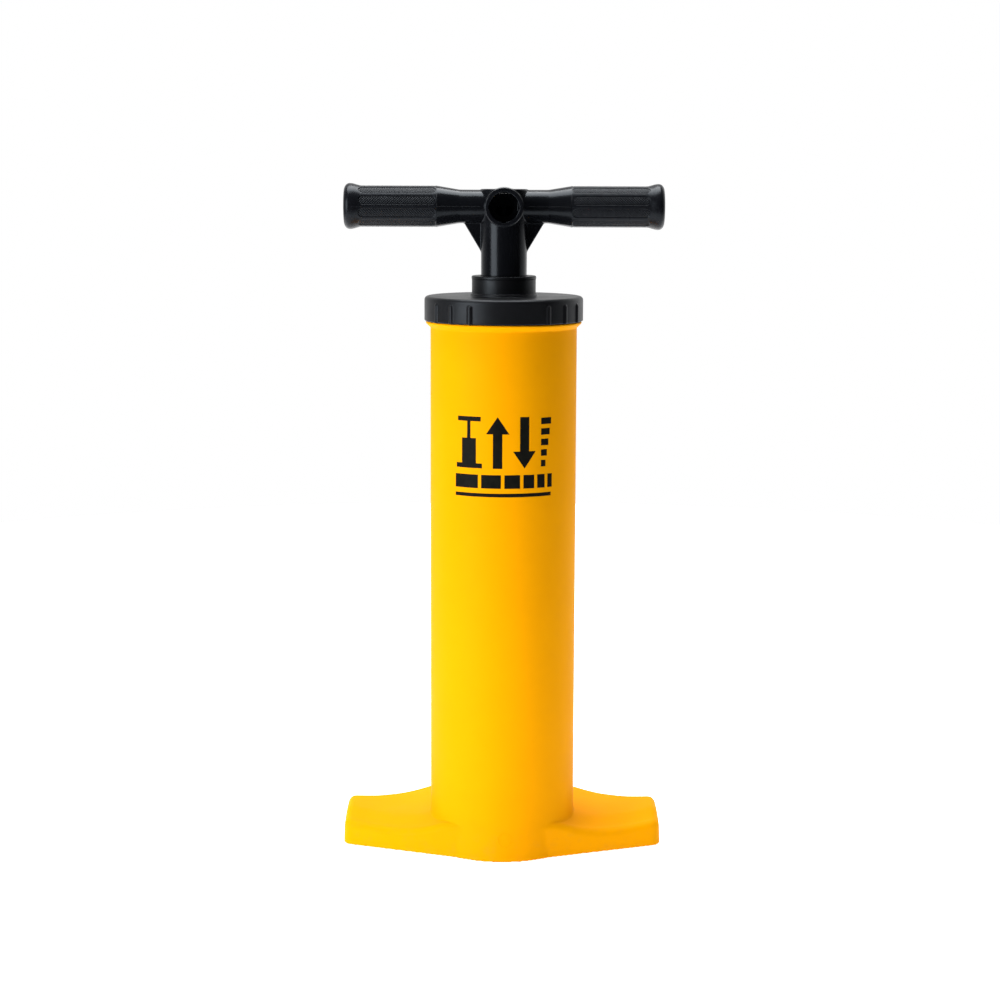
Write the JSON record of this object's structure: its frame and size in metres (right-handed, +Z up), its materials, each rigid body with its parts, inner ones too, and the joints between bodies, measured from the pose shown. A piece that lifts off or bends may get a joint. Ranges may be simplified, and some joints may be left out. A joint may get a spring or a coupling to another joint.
{
  "type": "double action hand pump",
  "caption": "Upright double-action air pump with a winged foot, a screw cap and a T-handle whose hollow rod leads air to ports in its hub.",
  "frame": {"origin": "on the barrel's axis at floor level, under the middle of the cylinder", "axes": "+Z up along the barrel and the piston rod, X along the handle and the foot, -Y to the front, where the outlet port looks"},
  "size_m": [0.231, 0.1458, 0.4779],
  "materials": {
    "barrel_plastic": "smooth semi-gloss yellow moulded plastic",
    "handle_plastic": "black moulded plastic, glossy hub and satin ribbed grips",
    "cap_plastic": "satin charcoal-black moulded plastic",
    "rod_plastic": "smooth dark grey extruded tube",
    "inner_plastic": "plain natural-colour moulded plastic",
    "seal_rubber": "soft black rubber",
    "valve_rubber": "soft red-brown rubber",
    "screw_steel": "zinc-plated steel"
  },
  "bodies": {
    "barrel": {"barrel": "barrel_plastic", "floor_bumper": "seal_rubber"},
    "cap_seat": {"cap_gasket": "seal_rubber"},
    "cap": {"cap": "cap_plastic", "top_bumper": "seal_rubber", "rod_guide_bush": "inner_plastic", "rod_seal": "seal_rubber", "seal_retainer": "inner_plastic"},
    "piston_ring": {"piston_seal": "seal_rubber"},
    "handle_rod": {"handle": "handle_plastic", "end_plug_left": "handle_plastic", "end_plug_right": "handle_plastic", "port_divider": "handle_plastic", "outer_tube": "rod_plastic", "inner_tube": "rod_plastic", "inner_tube_oring": "seal_rubber", "piston_body": "inner_plastic", "upper_plate": "inner_plastic", "lower_plate": "inner_plastic", "plate_screws": "screw_steel"},
    "intake_flap_upper": {"intake_valve_upper": "valve_rubber"},
    "outlet_flap_upper": {"outlet_valve_upper": "valve_rubber"},
    "intake_flap_lower": {"intake_valve_lower": "valve_rubber"},
    "outlet_flap_lower": {"outlet_valve_lower": "valve_rubber"}
  },
  "joints": [
    {"name": "pump_stroke", "type": "slide", "parent": "barrel", "child": "piston_ring", "axis": [0, 0, 1], "range_m": [0, 0.3]},
    {"name": "handle_turn", "type": "hinge", "parent": "piston_ring", "child": "handle_rod", "pos_m": [0, 0, 0.4], "axis": [0, 0, 1], "continuous": true},
    {"name": "cap_turn", "type": "hinge", "parent": "cap_seat", "child": "cap", "pos_m": [0, 0, 0.39], "axis": [0, 0, 1], "range_deg": [0, 120]},
    {"name": "cap_lift", "type": "slide", "parent": "barrel", "child": "cap_seat", "axis": [0, 0, 1], "range_m": [0, 0.004]},
    {"name": "intake_valve_upper_lift", "type": "slide", "parent": "handle_rod", "child": "intake_flap_upper", "axis": [0, 0, 1], "range_m": [0, 0.0015], "stiffness_N_per_m": 20, "springref_m": -0.002},
    {"name": "outlet_valve_upper_drop", "type": "slide", "parent": "handle_rod", "child": "outlet_flap_upper", "axis": [0, 0, -1], "range_m": [0, 0.0015], "stiffness_N_per_m": 20, "springref_m": -0.002},
    {"name": "intake_valve_lower_drop", "type": "slide", "parent": "handle_rod", "child": "intake_flap_lower", "axis": [0, 0, -1], "range_m": [0, 0.0015], "stiffness_N_per_m": 20, "springref_m": -0.002},
    {"name": "outlet_valve_lower_lift", "type": "slide", "parent": "handle_rod", "child": "outlet_flap_lower", "axis": [0, 0, 1], "range_m": [0, 0.0015], "stiffness_N_per_m": 20, "springref_m": -0.002}
  ],
  "couplings": [
    {"joint": "cap_lift", "follows": "cap_turn", "m_per_rad": 0.0019099}
  ]
}
